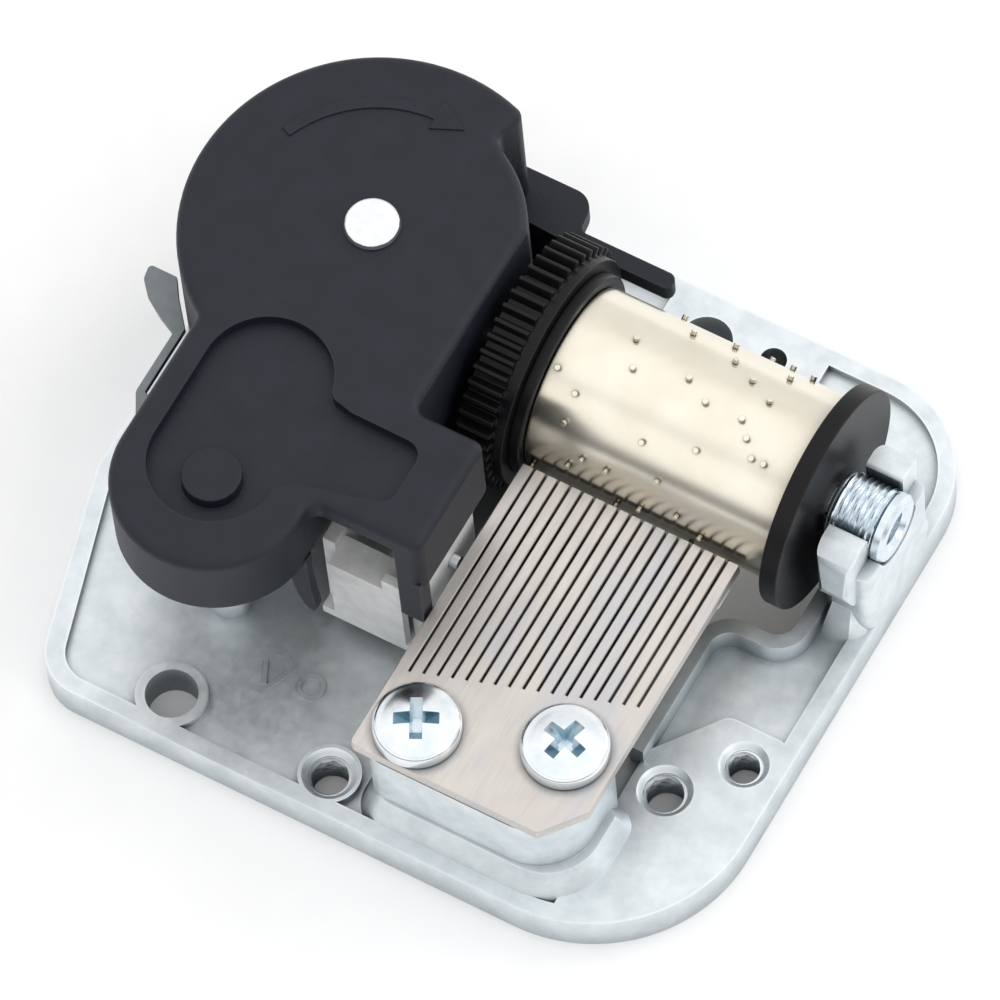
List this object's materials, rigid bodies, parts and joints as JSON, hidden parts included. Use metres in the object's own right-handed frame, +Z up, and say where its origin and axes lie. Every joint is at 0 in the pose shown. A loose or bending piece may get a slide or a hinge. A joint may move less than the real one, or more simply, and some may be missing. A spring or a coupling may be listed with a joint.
{
  "type": "wind-up music box movement",
  "caption": "Wind-up music movement: pinned cylinder and tuned steel comb on a die-cast bedplate, driven by a spring housing with an air-brake governor.",
  "frame": {"origin": "winding arbor axis at the underside of the bedplate, the mouth of the key socket", "axes": "+X along the pinned cylinder towards its threaded bush, +Y from the comb to the cylinder and on to the rear, +Z up"},
  "size_m": [0.0515, 0.045, 0.0205],
  "materials": {
    "zinc": "satin die-cast zinc",
    "black_case": "fine matte moulding",
    "black_gear": "semi-gloss moulding",
    "white_nylon": "natural nylon",
    "bright_steel": "polished",
    "spring_steel": "blued strip",
    "comb_steel": "ground face",
    "zinc_plated": "bright zinc plate",
    "nickel_gold": "bright nickel-gold plate",
    "lead": "dull",
    "grey_sheet": "satin grey"
  },
  "bodies": {
    "base": {"bedplate": "zinc", "drive_housing": "black_case", "spindle_bearing_plug": "black_case", "mainspring": "spring_steel", "spring_cover": "spring_steel", "crown_washer": "spring_steel", "bearing_bush": "zinc_plated", "comb": "comb_steel", "comb_screws": "zinc_plated", "comb_weights": "lead", "comb_dampers": "white_nylon", "governor_bracket": "white_nylon", "stop_lever_post": "zinc_plated", "housing_screws": "zinc_plated"},
    "cylinder": {"cylinder_gear": "black_gear", "cylinder_ring": "black_gear", "cylinder_sleeve": "nickel_gold", "cylinder_pins": "nickel_gold", "cylinder_end_disc": "black_gear", "cylinder_shaft": "bright_steel"},
    "great_wheel": {"crown_wheel": "black_gear", "click_spring": "spring_steel"},
    "arbor": {"winding_arbor": "bright_steel", "ratchet_wheel": "spring_steel"},
    "idler": {"idler_pinion": "white_nylon", "idler_axle": "bright_steel"},
    "governor": {"governor_wheel": "white_nylon", "worm_wheel": "white_nylon", "governor_axle": "bright_steel"},
    "air_brake": {"worm_spindle": "bright_steel", "governor_fan": "black_gear", "brake_disc": "black_gear"},
    "stop_lever": {"stop_lever": "grey_sheet"}
  },
  "joints": [
    {"name": "cylinder_spin", "type": "hinge", "parent": "base", "child": "cylinder", "pos_m": [0.022, 0.0005, 0.0105], "axis": [1, 0, 0], "continuous": true},
    {"name": "great_wheel_spin", "type": "hinge", "parent": "base", "child": "great_wheel", "pos_m": [0, 0, 0.003], "axis": [0, 0, 1], "continuous": true},
    {"name": "winding", "type": "hinge", "parent": "great_wheel", "child": "arbor", "pos_m": [0, 0, 0.003], "axis": [0, 0, 1], "continuous": true},
    {"name": "idler_spin", "type": "hinge", "parent": "base", "child": "idler", "pos_m": [0.009, -0.00985, 0.0105], "axis": [1, 0, 0], "continuous": true},
    {"name": "governor_spin", "type": "hinge", "parent": "base", "child": "governor", "pos_m": [0.006, -0.01418, 0.00934], "axis": [1, 0, 0], "continuous": true},
    {"name": "air_brake_spin", "type": "hinge", "parent": "base", "child": "air_brake", "pos_m": [-0.00015, -0.0205, 0.01], "axis": [0, 0, 1], "continuous": true},
    {"name": "stop_lever_turn", "type": "hinge", "parent": "base", "child": "stop_lever", "pos_m": [-0.0078, -0.015, 0.0128], "axis": [0, 0, 1], "range_deg": [0, 9]}
  ],
  "couplings": [
    {"joint": "great_wheel_spin", "follows": "cylinder_spin", "ratio": 0.77419},
    {"joint": "idler_spin", "follows": "cylinder_spin", "ratio": -4},
    {"joint": "governor_spin", "follows": "cylinder_spin", "ratio": 3.4286},
    {"joint": "air_brake_spin", "follows": "cylinder_spin", "ratio": 68.571}
  ]
}
